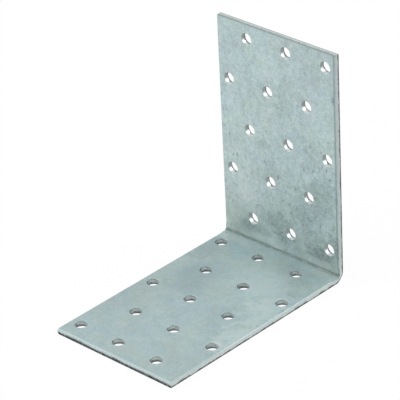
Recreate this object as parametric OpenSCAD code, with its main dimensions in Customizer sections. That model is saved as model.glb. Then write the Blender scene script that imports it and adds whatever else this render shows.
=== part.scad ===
// Perforated angle bracket, folded from one piece of galvanised sheet.
//
// The blank is punched on one regular staggered pattern while it is flat, and then folded once at a
// right angle, so the stagger runs on across the fold. Every cut edge has a sheared section: one side
// of the sheet is rolled over softly, then comes a square cut, and towards the other side the metal
// broke away and leans back a little. The blanks were cut one after another from a strip, so the right
// side and the free end of the flat leg are rolled over at the inner side, while the left side and the
// free end of the upright leg are rolled over at the outer side. The upright's end was held down as it
// was cut, so it is rolled over less. The holes were punched from the inner side. At both ends of the
// fold the outer side is drawn in and the inner side is pressed out.
//
// The bracket stands on its flat leg. X runs along the fold, the upright leg is at the positive Y end,
// and Z points up. The origin is under the middle of the whole bracket.

/* [Sheet] */

// Thickness of the steel sheet
sheet_t = 2.5; // [2:0.1:4]

// Width of the bracket, along the fold
bracket_w = 60; // [40:20:140]

// Length of the flat leg, from the back of the heel to its free end
base_len = 99; // [59:20:199]

// Height of the upright leg, from the underside of the heel to its free end
upright_len = 99.4; // [59:0.1:199]

// Inside radius of the fold
fold_inner_r = 1.2; // [0.8:0.1:3]

// How far the outer side of the fold is drawn in at each of its two ends
heel_draw = 0.45; // [0.1:0.05:0.8]

// How far the inner side of the fold is pressed out at each of its two ends
heel_bulge = 0.2; // [0.05:0.05:0.4]

/* [Hole pattern] */

// Diameter of the punched holes
hole_d = 5; // [4:0.5:6]

// Distance between the holes of one row
col_pitch = 20; // [16:1:24]

// Distance between one row and the next, along the flat blank
row_pitch = 20; // [16:1:24]

// From the side of the sheet to the centre of the nearest hole
side_gap = 5; // [5:0.5:8]

// From the free end of the flat leg to the centre of its first row
end_gap = 8; // [6:0.5:12]

/* [Cut edges] */

// Radius of the soft edge along the two long sides
side_roll_r = 0.6; // [0.2:0.05:0.7]

// Share of the thickness in which the metal of the long sides broke instead of being cut
side_break_share = 0.22; // [0.1:0.02:0.5]

// Radius of the soft edge at the free end of the flat leg
end_roll_r = 0.9; // [0.3:0.05:0.95]

// Radius of the soft edge at the free end of the upright leg
top_roll_r = 0.35; // [0.2:0.05:0.95]

// Share of the thickness in which the metal of the free ends broke instead of being cut
end_break_share = 0.42; // [0.1:0.02:0.5]

// How far a broken zone leans back at its far side
edge_break = 0.12; // [0.05:0.01:0.3]

// Radius of the soft mouth that the punch leaves round each hole
mouth_r = 0.2; // [0.1:0.05:0.5]

// Share of the thickness in which the metal of a hole broke instead of being cut
hole_break_share = 0.3; // [0.1:0.05:0.5]

// How much wider each hole is where the punch broke through, at the radius
hole_break = 0.1; // [0.05:0.05:0.4]

/* [Hidden] */

$fn = 32;

steel = [0.68, 0.74, 0.745];

// the fold
fold_outer_r = fold_inner_r + sheet_t;
neutral_share = 0.4;
fold_allow = PI / 2 * (fold_inner_r + neutral_share * sheet_t);

// the flat blank, measured from the free end of the flat leg
base_flat = base_len - fold_outer_r;
upright_flat = upright_len - fold_outer_r;
blank_len = base_flat + fold_allow + upright_flat;

// the pattern: whole rows that keep at least one hole diameter from the far end
hole_r = hole_d / 2;
row_count = floor((blank_len - end_gap - hole_d) / row_pitch) + 1;
col_count = floor((bracket_w - side_gap - col_pitch / 2) / col_pitch) + 1;
fold_keep = hole_r + mouth_r;

// levels through the thickness, from the outer side
hole_break_h = hole_break_share * sheet_t;
mouth_share = 0.9;
mouth_depth = mouth_share * mouth_r;
mouth_over = (mouth_r - mouth_depth) / 2;
cut_over = 1;

// the dish that draws in each end of the fold is part of a ball: it passes through the drawn-in point
// of the heel's outer side and the pressed-out point of its inner side, and is centred past the heel
dish_past = 3;
dish_near = dish_past;
dish_far = dish_past + sheet_t;
dish_rise = heel_draw + heel_bulge;
dish_out = (dish_far * dish_far - dish_near * dish_near - dish_rise * dish_rise) / (2 * dish_rise);
dish_r = sqrt(dish_far * dish_far + dish_out * dish_out);

// the metal that is pressed out there is capped by another ball, centred in the fold, which comes
// level with the sheet's side at the middle of the thickness
cap_far = fold_inner_r + sheet_t / 2;
cap_in = (cap_far * cap_far - fold_inner_r * fold_inner_r - heel_bulge * heel_bulge) / (2 * heel_bulge);
cap_r = sqrt(cap_far * cap_far + cap_in * cap_in);
ball_fn = 180;

// Half of a sheet's section, from the axis at 0 out to a cut edge at reach, rolled over at the top
module edge_section(reach, roll_r, break_share) {
    polygon([
        [0, 0],
        [reach - edge_break, 0],
        [reach, break_share * sheet_t],
        [reach, sheet_t - roll_r],
        [reach - roll_r, sheet_t - roll_r],
        [reach - roll_r, sheet_t],
        [0, sheet_t],
    ]);
    translate([reach - roll_r, sheet_t - roll_r])
        intersection() {
            circle(r = roll_r);
            square(roll_r);
        }
}

// What it is given, turned over through the thickness where turned is true
module turn_over(turned) {
    translate([0, turned ? sheet_t : 0])
        mirror([0, turned ? 1 : 0])
            children();
}

// The sheet's section across its whole width
module sheet_section() {
    edge_section(bracket_w / 2, side_roll_r, side_break_share);
    mirror([1, 0])
        turn_over(true)
            edge_section(bracket_w / 2, side_roll_r, side_break_share);
}

// One flat leg: it lies along the negative Y axis and ends at len, with its outer side down
module leg(len, roll_r, turned) {
    intersection() {
        translate([0, -fold_outer_r, 0])
            rotate([90, 0, 0])
                linear_extrude(height = len - fold_outer_r + cut_over)
                    sheet_section();
        rotate([90, 0, -90])
            linear_extrude(height = bracket_w + 2 * cut_over, center = true)
                turn_over(turned)
                    edge_section(len, roll_r, end_break_share);
    }
}

// The fold: the same section, carried round the heel
module fold() {
    translate([0, -fold_outer_r, fold_outer_r])
        rotate([0, 90, 0])
            rotate_extrude(angle = 90)
                translate([fold_outer_r, 0])
                    rotate(90)
                        sheet_section();
}

// The metal that the fold presses out at one end, 1 for the right end and -1 for the left
module pressed_out(end) {
    cap_keep = cap_r - cap_in + cut_over;
    intersection() {
        translate([end * (bracket_w / 2 - cap_in), -fold_outer_r, fold_outer_r])
            sphere(r = cap_r, $fn = ball_fn);
        translate([end * bracket_w / 2, 0, 0])
            rotate([90, 0, 90])
                linear_extrude(height = 2 * cap_keep, center = true)
                    fold_profile();
    }
}

// The fold and a little of both legs, seen along the fold
module fold_profile() {
    run = 2 * fold_outer_r;
    translate([-fold_outer_r, fold_outer_r])
        intersection() {
            difference() {
                circle(r = fold_outer_r);
                circle(r = fold_inner_r);
            }
            translate([0, -fold_outer_r])
                square(fold_outer_r);
        }
    translate([-fold_outer_r - run, 0])
        square([run, sheet_t]);
    translate([-sheet_t, fold_outer_r])
        square([sheet_t, run]);
}

// The dish that draws in one end of the heel
module drawn_in(end) {
    past = (fold_outer_r + dish_past) * sin(45) - fold_outer_r;
    translate([end * (bracket_w / 2 + heel_bulge + dish_out), past, -past])
        sphere(r = dish_r, $fn = ball_fn);
}

// What the punch takes out: a soft mouth, a true round wall and a wider break on the far side
module punch() {
    wall_top = sheet_t - mouth_depth;
    break_over = hole_break * (hole_break_h + cut_over) / hole_break_h;

    rotate_extrude() {
        polygon([
            [0, -cut_over],
            [hole_r + break_over, -cut_over],
            [hole_r, hole_break_h],
            [hole_r, sheet_t + mouth_over],
            [0, sheet_t + mouth_over],
        ]);
        difference() {
            translate([hole_r, wall_top])
                square([mouth_r, mouth_depth + mouth_over]);
            translate([hole_r + mouth_r, wall_top])
                circle(r = mouth_r);
        }
    }
}

// Every other row is moved along by half a pitch
module hole_row(row) {
    shift = row % 2 == 0 ? 0 : col_pitch / 2;
    for (col = [0 : col_count - 1])
        translate([-bracket_w / 2 + side_gap + shift + col * col_pitch, 0, 0])
            punch();
}

// The rows of the blank that land on the flat leg
module base_holes() {
    for (row = [0 : row_count - 1])
        if (end_gap + row * row_pitch <= base_flat - fold_keep)
            translate([0, -base_len + end_gap + row * row_pitch, 0])
                hole_row(row);
}

// The rows of the blank that land on the upright leg, past the fold
module upright_holes() {
    start = base_flat + fold_allow;
    for (row = [0 : row_count - 1])
        if (end_gap + row * row_pitch >= start + fold_keep)
            translate([0, -fold_outer_r - end_gap - row * row_pitch + start, 0])
                hole_row(row);
}

// The whole bracket, in one piece
module bracket() {
    color(steel)
        translate([0, base_len / 2, 0])
            difference() {
                union() {
                    leg(base_len, end_roll_r, false);
                    fold();
                    mirror([0, 1, 1])
                        leg(upright_len, top_roll_r, true);
                    for (end = [-1, 1])
                        pressed_out(end);
                }
                for (end = [-1, 1])
                    drawn_in(end);
                base_holes();
                mirror([0, 1, 1])
                    upright_holes();
            }
}

bracket();
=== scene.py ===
"""Looks of a perforated angle bracket, folded from one piece of galvanised sheet.

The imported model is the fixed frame. One piece, the folded sheet, stands for its only node. The piece
is worked out on the flat blank, in millimetres: x runs along the fold, s along the blank from the free
end of the flat leg to the free end of the upright leg, and n through the sheet, from its outer side at
0 to its inner side. It is then carried round the fold as a whole.
"""

import logging
import math
from dataclasses import dataclass, field
from enum import Enum
from functools import reduce

import bpy
import numpy as np
from mathutils import Matrix, Vector


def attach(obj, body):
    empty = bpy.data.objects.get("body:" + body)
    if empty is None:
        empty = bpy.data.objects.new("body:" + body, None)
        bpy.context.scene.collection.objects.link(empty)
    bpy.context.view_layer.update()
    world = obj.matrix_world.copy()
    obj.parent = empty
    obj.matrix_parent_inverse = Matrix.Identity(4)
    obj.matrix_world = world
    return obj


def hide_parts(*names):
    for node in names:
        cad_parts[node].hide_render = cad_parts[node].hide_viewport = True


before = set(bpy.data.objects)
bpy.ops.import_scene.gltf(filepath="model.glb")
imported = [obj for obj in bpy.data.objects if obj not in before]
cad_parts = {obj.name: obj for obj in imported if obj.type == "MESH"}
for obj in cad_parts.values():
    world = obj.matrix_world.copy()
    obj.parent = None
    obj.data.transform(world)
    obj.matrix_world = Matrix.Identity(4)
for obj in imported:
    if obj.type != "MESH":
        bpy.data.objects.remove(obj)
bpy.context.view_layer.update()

MM = 0.001
NODE = "bracket"
PLACE = "sheet_place"
MARKS = "edge_marks"
PUNCHED = "punched"
WELD_GRID = 1e5
WELD_OFFSET = 0.317
SHARP_ANGLE = math.radians(38)
LOG = logging.getLogger("bracket")


class Side(Enum):
    """The two broad sides of the sheet."""

    OUTER = 0
    INNER = 1


class Edge(Enum):
    """The four sheared edges of the blank, counterclockwise as seen from the inner side."""

    NEAR = "free end of the flat leg"
    RIGHT = "right side"
    FAR = "free end of the upright leg"
    LEFT = "left side"


def srgb(red: float, green: float, blue: float) -> tuple[float, float, float, float]:
    """A colour as seen on a screen, 0 to 255, as the linear colour that a shader takes.

    Args:
        red, green, blue: the three parts, 0 to 255.

    Returns:
        The linear red, green and blue and an alpha of 1.
    """
    parts = [value / 255 for value in (red, green, blue)]
    linear = [((v + 0.055) / 1.055) ** 2.4 if v > 0.04045 else v / 12.92 for v in parts]
    return (*linear, 1.0)


def grid_quads(rows: int, cols: int, closed: bool, flipped: bool) -> np.ndarray:
    """The quads between neighbouring rows and columns of a grid of vertices.

    Args:
        rows: rows of vertices.
        cols: vertices in a row.
        closed: joins the last column to the first.
        flipped: turns every quad over.

    Returns:
        Four vertex numbers for each quad.
    """
    row = np.arange(rows - 1)[:, None]
    col = np.arange(cols if closed else cols - 1)[None, :]
    after = (col + 1) % cols
    here, above = row * cols, (row + 1) * cols
    quads = np.stack([here + col, here + after, above + after, above + col], -1).reshape(-1, 4)
    return quads[:, ::-1] if flipped else quads


@dataclass(frozen=True)
class Ripple:
    """An uneven height over the flat blank, between about minus one and one.

    It is a sum of plane waves. Each wave has its own direction, length and phase, drawn from the seed,
    so the height at a point depends only on where the point lies.
    """

    seed: int
    shortest: float
    longest: float
    waves: int = 20
    calm: float = 1.8

    def at(self, x: np.ndarray, s: np.ndarray) -> np.ndarray:
        """The height at each point.

        Args:
            x: places along the fold, in mm.
            s: places along the blank, in mm.

        Returns:
            One height for each place.
        """
        draw = np.random.default_rng(self.seed)
        length = np.exp(draw.uniform(math.log(self.shortest), math.log(self.longest), self.waves))
        turn = draw.uniform(0, math.tau, self.waves)
        phase = draw.uniform(0, math.tau, self.waves)
        rate = math.tau / length
        swing = np.multiply.outer(x, rate * np.cos(turn)) + np.multiply.outer(s, rate * np.sin(turn))
        return np.clip(np.sin(swing + phase).sum(-1) / math.sqrt(self.calm * self.waves), -1, 1)


@dataclass
class Patch:
    """A grid of vertices on the blank, with the edge marks of each, and the quads between them."""

    points: np.ndarray
    marks: np.ndarray
    quads: np.ndarray
    punched: np.ndarray

    @classmethod
    def from_grid(
        cls,
        points: np.ndarray,
        marks: np.ndarray,
        closed: bool,
        flipped: bool,
        punched: np.ndarray | float = 0.0,
    ) -> "Patch":
        """Makes a patch of a whole grid.

        Args:
            points: x, s and n of each vertex, by row and column.
            marks: cut, depth, and staining with painted shade of each vertex, by row and column.
            closed: joins the last column to the first.
            flipped: turns the faces over.
            punched: how much the punch burnished each quad, which also places the painted highlight.

        Returns:
            The patch.
        """
        rows, cols = points.shape[:2]
        full = np.broadcast_to(marks, (rows, cols, 3)).reshape(-1, 3)
        quads = grid_quads(rows, cols, closed, flipped)
        return cls(points.reshape(-1, 3), full, quads, np.broadcast_to(punched, len(quads)))


@dataclass(frozen=True)
class ShearedEdge:
    """The section that the shear leaves along one edge, in millimetres.

    One side of the sheet is rolled over softly, then comes a square cut, and at the other side the
    metal broke away and leans back.
    """

    roll_r: float
    break_h: float
    turned: bool
    wander: float
    # How dark the broken zone is, from staining and from painted shade by the way the edge faces
    stain_and_shade: float
    lean: float = 0.12
    lean_power: float = 0.7
    bite: float = 0.04
    thickness: float = 2.5

    def depth(self, n: np.ndarray) -> np.ndarray:
        """How far each level lies from the broken side."""
        return self.thickness - n if self.turned else n

    def over(self, n: np.ndarray) -> np.ndarray:
        """How far each level lies past the start of the rolled part."""
        return np.clip(self.depth(n) - self.thickness + self.roll_r, 0, self.roll_r)

    def broken(self, n: np.ndarray, wave: np.ndarray) -> np.ndarray:
        """Each level's depth as a share of the broken zone's height, which wanders with the wave."""
        return self.depth(n) / (self.break_h * (1 + self.wander * wave))

    def inset(self, n: np.ndarray, wave: np.ndarray, rough: np.ndarray) -> np.ndarray:
        """How far the section lies inside the outline.

        The rolled part is a quarter circle: its radius less the root of its radius squared less the
        height above its start squared. The broken part leans back with the power 0.7 of its share, with
        an uneven hollow of one sine arch.

        Args:
            n: levels through the sheet.
            wave: slow wave along the edge, for the height of the broken zone.
            rough: fast wave along the edge, for its hollow.

        Returns:
            The inset at each level.
        """
        rolled = self.roll_r - np.sqrt(self.roll_r**2 - self.over(n) ** 2)
        torn = np.clip(1 - self.broken(n, wave), 0, 1)
        hollow = self.bite * (1 + rough) * np.sin(math.pi * torn)
        return rolled + self.lean * torn**self.lean_power + hollow

    def cut(self, n: np.ndarray) -> np.ndarray:
        """How far each level is on the cut: 0 where the rolled part starts, and 1 past it."""
        return 1 - self.over(n) / self.roll_r


@dataclass
class FoldedSheet:
    """The bracket's one piece: a punched and sheared blank with one fold. Lengths are in millimetres."""

    # Sizes of the part's source
    thickness: float = 2.5
    width: float = 60.0
    base_len: float = 99.0
    upright_len: float = 99.4
    fold_inner_r: float = 1.2
    neutral_share: float = 0.4
    heel_draw: float = 0.45
    heel_bulge: float = 0.2
    dish_past: float = 3.0
    hole_r: float = 2.5
    col_pitch: float = 20.0
    row_pitch: float = 20.0
    side_gap: float = 5.0
    end_gap: float = 8.0
    row_count: int = 10
    base_rows: int = 5
    side_roll_r: float = 0.6
    side_break_h: float = 0.55
    end_roll_r: float = 0.9
    top_roll_r: float = 0.35
    end_break_h: float = 1.05
    mouth_in: float = 0.2
    mouth_deep: float = 0.18
    hole_break_h: float = 0.75
    hole_break: float = 0.1

    # What the shear and the punch leave, only in the scene, with painted shade in the holes' torn zone
    # and a painted highlight on the hole walls
    hole_wander: float = 0.3
    hole_flare_power: float = 0.8
    # How dark the holes' torn zone is, partly painted shade
    hole_stain_and_shade: float = 0.6
    # Where the hole walls' burnish and painted highlight are strongest
    burnish_highlight_way: float = math.radians(175)
    burnish_highlight_power: float = 1.5
    dip_deep: float = 0.07
    dip_wide: float = 1.5
    wave_high: float = 0.02
    end_wander: float = 0.15
    side_wander: float = 0.4

    # Steps of the mesh
    corner_keep: float = 1.0
    side_step: float = 0.5
    cell_step: float = 1.0
    fold_steps: int = 12
    arc_steps: int = 8
    middle_steps: int = 4
    mouth_steps: int = 5
    wall_steps: int = 3
    torn_steps: int = 4
    inner_steps: tuple[float, ...] = (0.0, 0.07, 0.16, 0.3, 0.55, 1.0)
    outer_steps: tuple[float, ...] = (0.0, 0.12, 0.45, 1.0)

    # Uneven heights
    break_wave: Ripple = Ripple(seed=11, shortest=1.6, longest=14.0)
    torn_wave: Ripple = Ripple(seed=12, shortest=1.1, longest=3.0)
    flat_wave: Ripple = Ripple(seed=13, shortest=14.0, longest=60.0)

    @property
    def outer_r(self) -> float:
        """Outer radius of the fold."""
        return self.fold_inner_r + self.thickness

    @property
    def fold_start(self) -> float:
        """Where the flat leg ends on the blank and the fold starts."""
        return self.base_len - self.outer_r

    @property
    def fold_len(self) -> float:
        """Length of the fold on the blank, along its neutral line."""
        return math.pi / 2 * (self.fold_inner_r + self.neutral_share * self.thickness)

    @property
    def blank_len(self) -> float:
        """Length of the whole blank."""
        return self.fold_start + self.fold_len + self.upright_len - self.outer_r

    @property
    def shears(self) -> dict[Edge, ShearedEdge]:
        """The section of each edge.

        Blanks are cut one after another from a strip, so two of the sections are turned over.

        Returns:
            The sections by edge, each with how dark its broken zone is, from staining and from painted
            shade by the way the edge faces.
        """
        end, side = self.end_break_h, self.side_break_h
        return {
            Edge.NEAR: ShearedEdge(self.end_roll_r, end, False, self.end_wander, stain_and_shade=1.0),
            Edge.RIGHT: ShearedEdge(self.side_roll_r, side, False, self.side_wander, stain_and_shade=0.92),
            Edge.FAR: ShearedEdge(self.top_roll_r, end, True, self.end_wander, stain_and_shade=0.25),
            Edge.LEFT: ShearedEdge(self.side_roll_r, side, True, self.side_wander, stain_and_shade=0.5),
        }

    def carry(self, points: np.ndarray) -> np.ndarray:
        """Carries points of the blank round the fold.

        The turn grows evenly from nothing to a right angle along the fold. Y is the way along the flat
        leg plus the sine of the turn times the distance from the fold's centre line. Z is the outer
        radius less the cosine of the turn times that distance, plus the way up the upright leg.

        Args:
            points: x, s and n of each vertex.

        Returns:
            X, Y and Z of each vertex, in mm.
        """
        x, s, n = points.T
        turn = np.clip((s - self.fold_start) / self.fold_len, 0, 1) * (math.pi / 2)
        arm = self.outer_r - n
        y = -self.base_len / 2 + np.minimum(s, self.fold_start) + arm * np.sin(turn)
        z = self.outer_r - arm * np.cos(turn) + np.maximum(s - self.fold_start - self.fold_len, 0)
        return np.stack([x, y, z], -1)

    def press(self, places: np.ndarray) -> np.ndarray:
        """Draws in the outer side and presses out the inner side at the two ends of the fold.

        The ends are part of a ball, the dish, which passes through the drawn-in point of the heel's
        outer side and the pressed-out point of its inner side. It is centred past the heel. What the
        fold presses out is capped by another ball, centred in the fold, which comes level with the
        sheet's side at the middle of the thickness. X is the greater of the side's and the cap's own,
        and no more than the dish's. Points beyond the cap's ball get nothing from it.

        Args:
            places: X, Y and Z of points on the sheet's cut edge, in mm.

        Returns:
            The points with their new X.
        """
        x, y, z = places.T
        half = self.width / 2
        centre = np.array([self.base_len / 2 - self.outer_r, self.outer_r])
        past = (self.outer_r + self.dish_past) * math.sqrt(0.5)
        near, far = self.dish_past, self.dish_past + self.thickness
        rise = self.heel_draw + self.heel_bulge
        dish_out = (far**2 - near**2 - rise**2) / (2 * rise)
        away = np.hypot(y - centre[0] - past, z - centre[1] + past)
        dish_r = math.hypot(far, dish_out)
        dish = half + self.heel_bulge + dish_out - np.sqrt(np.maximum(dish_r**2 - away**2, 0))
        middle = self.fold_inner_r + self.thickness / 2
        cap_in = (middle**2 - self.fold_inner_r**2 - self.heel_bulge**2) / (2 * self.heel_bulge)
        within = middle**2 + cap_in**2 - (y - centre[0])**2 - (z - centre[1])**2
        cap = np.where(within > 0, half - cap_in + np.sqrt(np.maximum(within, 0)), 0.0)
        reach = np.minimum(np.maximum(np.abs(x), cap), dish)
        return np.stack([np.sign(x) * reach, y, z], -1)

    def row_centres(self) -> np.ndarray:
        """Where the rows of holes lie along the blank."""
        return self.end_gap + self.row_pitch * np.arange(self.row_count)

    def row_limits(self, row: int) -> tuple[float, float]:
        """Where the strip of one row of holes starts and ends along the blank.

        Args:
            row: number of the row, from the free end of the flat leg.

        Returns:
            The lower and the upper limit, in mm.
        """
        centre = self.row_centres()[row]
        low, high = centre - self.row_pitch / 2, centre + self.row_pitch / 2
        if row == 0:
            low = 0.0
        if row == self.base_rows - 1:
            high = self.fold_start
        if row == self.base_rows:
            low = self.fold_start + self.fold_len
        if row == self.row_count - 1:
            high = self.blank_len
        return low, high

    def row_holes(self, row: int) -> list[tuple[float, float, float]]:
        """The holes of one row.

        Args:
            row: number of the row.

        Returns:
            For each hole its cell's left and right limit and its own place, along x in mm.
        """
        half = self.width / 2
        first = -half + self.side_gap + (self.col_pitch / 2 if row % 2 else 0.0)
        places = np.arange(first, half, self.col_pitch)
        inner = (places[:-1] + places[1:]) / 2
        limits = np.concatenate([[-half], inner, [half]])
        return list(zip(limits[:-1], limits[1:], places))

    def hole_places(self) -> np.ndarray:
        """X and s of every hole's centre."""
        rows = enumerate(self.row_centres())
        return np.array([(x, s) for row, s in rows for _, _, x in self.row_holes(row)])

    def columns(self) -> np.ndarray:
        """The places along x at which rows of the mesh meet, between the corners."""
        reach = self.width / 2 - self.corner_keep
        return np.linspace(-reach, reach, round(2 * reach / self.cell_step) + 1)

    def side_places(self, row: int) -> np.ndarray:
        """The places along s of the mesh on the sheet's two long sides, beside one row of holes.

        Args:
            row: number of the row.

        Returns:
            The places, in mm.
        """
        low, high = self.row_limits(row)
        low = self.corner_keep if row == 0 else low
        high = high - self.corner_keep if row == self.row_count - 1 else high
        return np.linspace(low, high, round((high - low) / self.side_step) + 1)

    def fold_places(self) -> np.ndarray:
        """The places along s of the mesh across the fold."""
        return self.fold_start + np.linspace(0, self.fold_len, self.fold_steps + 1)

    def levels(self) -> np.ndarray:
        """The levels of the cut edges through the sheet, from the inner side to the outer side.

        Near both sides they follow the larger rolled part, by one less the cosine of even turns.

        Returns:
            The levels, in mm.
        """
        turn = np.linspace(0, math.pi / 2, self.arc_steps + 1)
        skin = self.end_roll_r * (1 - np.cos(turn))
        middle = np.linspace(skin[-1], self.thickness - skin[-1], self.middle_steps + 1)[1:-1]
        rising = np.concatenate([skin, middle, self.thickness - skin[::-1]])
        return rising[::-1]

    def edge_line(self, edge: Edge, along: np.ndarray, n: np.ndarray) -> tuple[np.ndarray, np.ndarray]:
        """Where one cut edge lies at given levels.

        Args:
            edge: the edge.
            along: places along it, x for the two ends and s for the two sides.
            n: levels through the sheet, which broadcast with the places.

        Returns:
            The edge's own coordinate, s for the two ends and x for the two sides, and the depth of each
            point as a share of the broken zone.
        """
        line = self.edge_spot(edge)
        ends = edge in (Edge.NEAR, Edge.FAR)
        x, s = (along, np.full_like(along, line)) if ends else (np.full_like(along, line), along)
        wave, rough = self.break_wave.at(x, s), self.torn_wave.at(x, s)
        shear = self.shears[edge]
        inward = 1 if edge in (Edge.NEAR, Edge.LEFT) else -1
        return line + inward * shear.inset(n, wave, rough), shear.broken(n, wave)

    def edge_points(
        self, edge: Edge, n: np.ndarray, places: np.ndarray | None = None
    ) -> tuple[np.ndarray, np.ndarray]:
        """The points of one cut edge, or of a stretch of it, with its corners.

        A corner's x comes from the side's own section and its s from the end's, so two sections meet on
        a mitre.

        Args:
            edge: the edge.
            n: levels through the sheet, as a column.
            places: places along the edge; the whole edge, from corner to corner, where none are given.

        Returns:
            X and s of the points, by level and place, and their depth as a share of the broken zone.
        """
        ends = edge in (Edge.NEAR, Edge.FAR)
        limits = (-self.width / 2, self.width / 2) if ends else (0.0, self.blank_len)
        if places is None:
            strips = [self.side_places(row) for row in range(self.row_count)] + [self.fold_places()]
            inner = self.columns() if ends else np.unique(np.concatenate(strips).round(9))
            places = np.concatenate([limits[:1], inner, limits[1:]])
        own, share = self.edge_line(edge, places, n)
        along = np.broadcast_to(places, own.shape).copy()
        crossing = (Edge.LEFT, Edge.RIGHT) if ends else (Edge.NEAR, Edge.FAR)
        corner = np.array([self.edge_spot(edge)])
        for limit, other in zip(limits, crossing):
            meets = self.edge_line(other, corner, n)[0]
            along = np.where(np.isclose(places, limit), meets, along)
        pair = (along, own) if ends else (own, along)
        return np.stack(pair, -1), share

    def edge_spot(self, edge: Edge) -> float:
        """The straight line on which an edge lies: its s for the two ends, its x for the sides."""
        half = self.width / 2
        return {Edge.NEAR: 0.0, Edge.RIGHT: half, Edge.FAR: self.blank_len, Edge.LEFT: -half}[edge]

    def rim(self, edge: Edge) -> Patch:
        """One cut edge of the sheet: its section is carried along the blank's outline.

        Args:
            edge: the edge.

        Returns:
            The patch of the edge, from the inner side to the outer side.
        """
        n = self.levels()[:, None]
        place, share = self.edge_points(edge, n)
        cut = np.broadcast_to(self.shears[edge].cut(n), share.shape)
        marks = np.stack([cut, share, np.full_like(share, self.shears[edge].stain_and_shade)], -1)
        points = np.concatenate([place, np.broadcast_to(n, share.shape)[..., None]], -1)
        flipped = edge in (Edge.NEAR, Edge.RIGHT)
        return Patch.from_grid(points, marks, closed=False, flipped=flipped)

    def cell_border(self, row: int, left: float, right: float, side: Side) -> np.ndarray:
        """The closed border of one hole's cell on one broad side, counterclockwise on the blank.

        Args:
            row: number of the row.
            left: left limit of the cell along x.
            right: right limit of the cell along x.
            side: the broad side.

        Returns:
            X and s of each point of the border.
        """
        half = self.width / 2
        n = np.array([[self.thickness * side.value]])
        low, high = self.row_limits(row)
        ends = {Edge.NEAR: row == 0, Edge.FAR: row == self.row_count - 1}
        sides = {Edge.LEFT: bool(left == -half), Edge.RIGHT: bool(right == half)}

        def across(edge: Edge, level: float) -> np.ndarray:
            """The border along x at one end of the cell.

            Args:
                edge: the free end that the cell's end may be.
                level: its s where it is no free end.

            Returns:
                X and s of its points, from the left.
            """
            x = self.columns()
            x = x[(x >= left) & (x <= right)]
            x = np.concatenate([[left] * sides[Edge.LEFT], x, [right] * sides[Edge.RIGHT]])
            if ends[edge]:
                return self.edge_points(edge, n, x)[0][0]
            points = np.stack([x, np.full(len(x), level)], -1)
            for other, spot in ((Edge.LEFT, 0), (Edge.RIGHT, -1)):
                if sides[other]:
                    points[spot] = self.edge_points(other, n, np.array([level]))[0][0, 0]
            return points

        def along(edge: Edge, limit: float) -> np.ndarray:
            """The border along s at one side of the cell.

            Args:
                edge: the side of the sheet that the cell's side may be.
                limit: its x where it is inside the sheet.

            Returns:
                X and s of its points, from the lower end.
            """
            if sides[edge]:
                s = self.side_places(row)
                s = np.concatenate([[low] * ends[Edge.NEAR], s, [high] * ends[Edge.FAR]])
                return self.edge_points(edge, n, s)[0][0]
            count = round((high - low) / self.cell_step) + 1
            spot = np.array([limit])
            low_s, high_s = (
                self.edge_points(end, n, spot)[0][0, 0, 1] if ends[end] else level
                for end, level in ((Edge.NEAR, low), (Edge.FAR, high))
            )
            s = np.linspace(low_s, high_s, count)
            return np.stack([np.full(len(s), limit), s], -1)

        parts = [
            across(Edge.NEAR, low), along(Edge.RIGHT, right),
            across(Edge.FAR, high)[::-1], along(Edge.LEFT, left)[::-1],
        ]
        return np.concatenate([part[:-1] for part in parts])

    def cell_face(
        self,
        centre: np.ndarray,
        border: np.ndarray,
        radius: np.ndarray,
        steps: tuple[float, ...],
        side: Side,
    ) -> Patch:
        """One broad face round a hole, along straight lines from its circle to its cell's border.

        Args:
            centre: x and s of the hole.
            border: x and s of the points of the border.
            radius: the circle's radius towards each of these points.
            steps: the shares of the way out at which vertices lie.
            side: the broad side.

        Returns:
            The face.
        """
        arm = border - centre
        reach = np.hypot(*arm.T)
        way = arm / reach[:, None]
        far = radius + (reach - radius) * np.array(steps)[:, None]
        place = centre + way * far[..., None]
        place[-1] = border
        height = np.full(place.shape[:2] + (1,), self.thickness * side.value)
        points = np.concatenate([place, height], -1)
        return Patch.from_grid(points, np.zeros(3), closed=True, flipped=side is Side.INNER)

    def hole_wall(self, centre: np.ndarray, border: np.ndarray) -> Patch:
        """The wall of one hole, as the hole's section turned round its axis.

        The section is a quarter ellipse at the mouth, a straight cut, and an uneven torn cone that
        opens towards the outer side. The punch burnished the wall most towards the sheet's left side:
        half of one more than the cosine of the way round from there, to a given power. On the upright
        this also places a painted highlight.

        Args:
            centre: x and s of the hole.
            border: x and s of the points of its cell's border, towards which the wall's points lie.

        Returns:
            The wall, from the mouth to the outer side.
        """
        arm = border - centre
        angle = np.arctan2(arm[:, 1], arm[:, 0])
        way = arm / np.hypot(*arm.T)[:, None]
        spots = (centre + way * self.hole_r).T
        level = self.hole_break_h * (1 + self.hole_wander * self.break_wave.at(*spots))
        flare = self.hole_break * (1 + self.hole_wander * self.torn_wave.at(*spots))
        turn = np.linspace(0, math.pi / 2, self.mouth_steps + 1)[:, None]
        share = np.linspace(0, 1, self.wall_steps + 1)[1:, None]
        torn = np.linspace(0, 1, self.torn_steps + 1)[1:, None]
        below = self.thickness - self.mouth_deep
        ring = np.zeros(len(angle))
        radius = self.hole_r + np.concatenate([
            self.mouth_in * (1 - np.sin(turn)) + ring,
            share * ring,
            flare * torn**self.hole_flare_power,
        ])
        height = np.concatenate([
            below + self.mouth_deep * np.cos(turn) + ring,
            below + (level - below) * share,
            level * (1 - torn),
        ])
        cut = np.concatenate([turn / turn.max() + ring, 1 + share * ring, 1 + torn * ring])
        marks = np.stack([cut, height / level, np.full_like(cut, self.hole_stain_and_shade)], -1)
        place = centre + way * radius[..., None]
        points = np.concatenate([place, height[..., None]], -1)
        press = (0.5 + 0.5 * np.cos(angle - self.burnish_highlight_way)) ** self.burnish_highlight_power
        punched = np.tile((press + np.roll(press, -1)) / 2, len(points) - 1)
        return Patch.from_grid(points, marks, closed=True, flipped=False, punched=punched)

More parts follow.
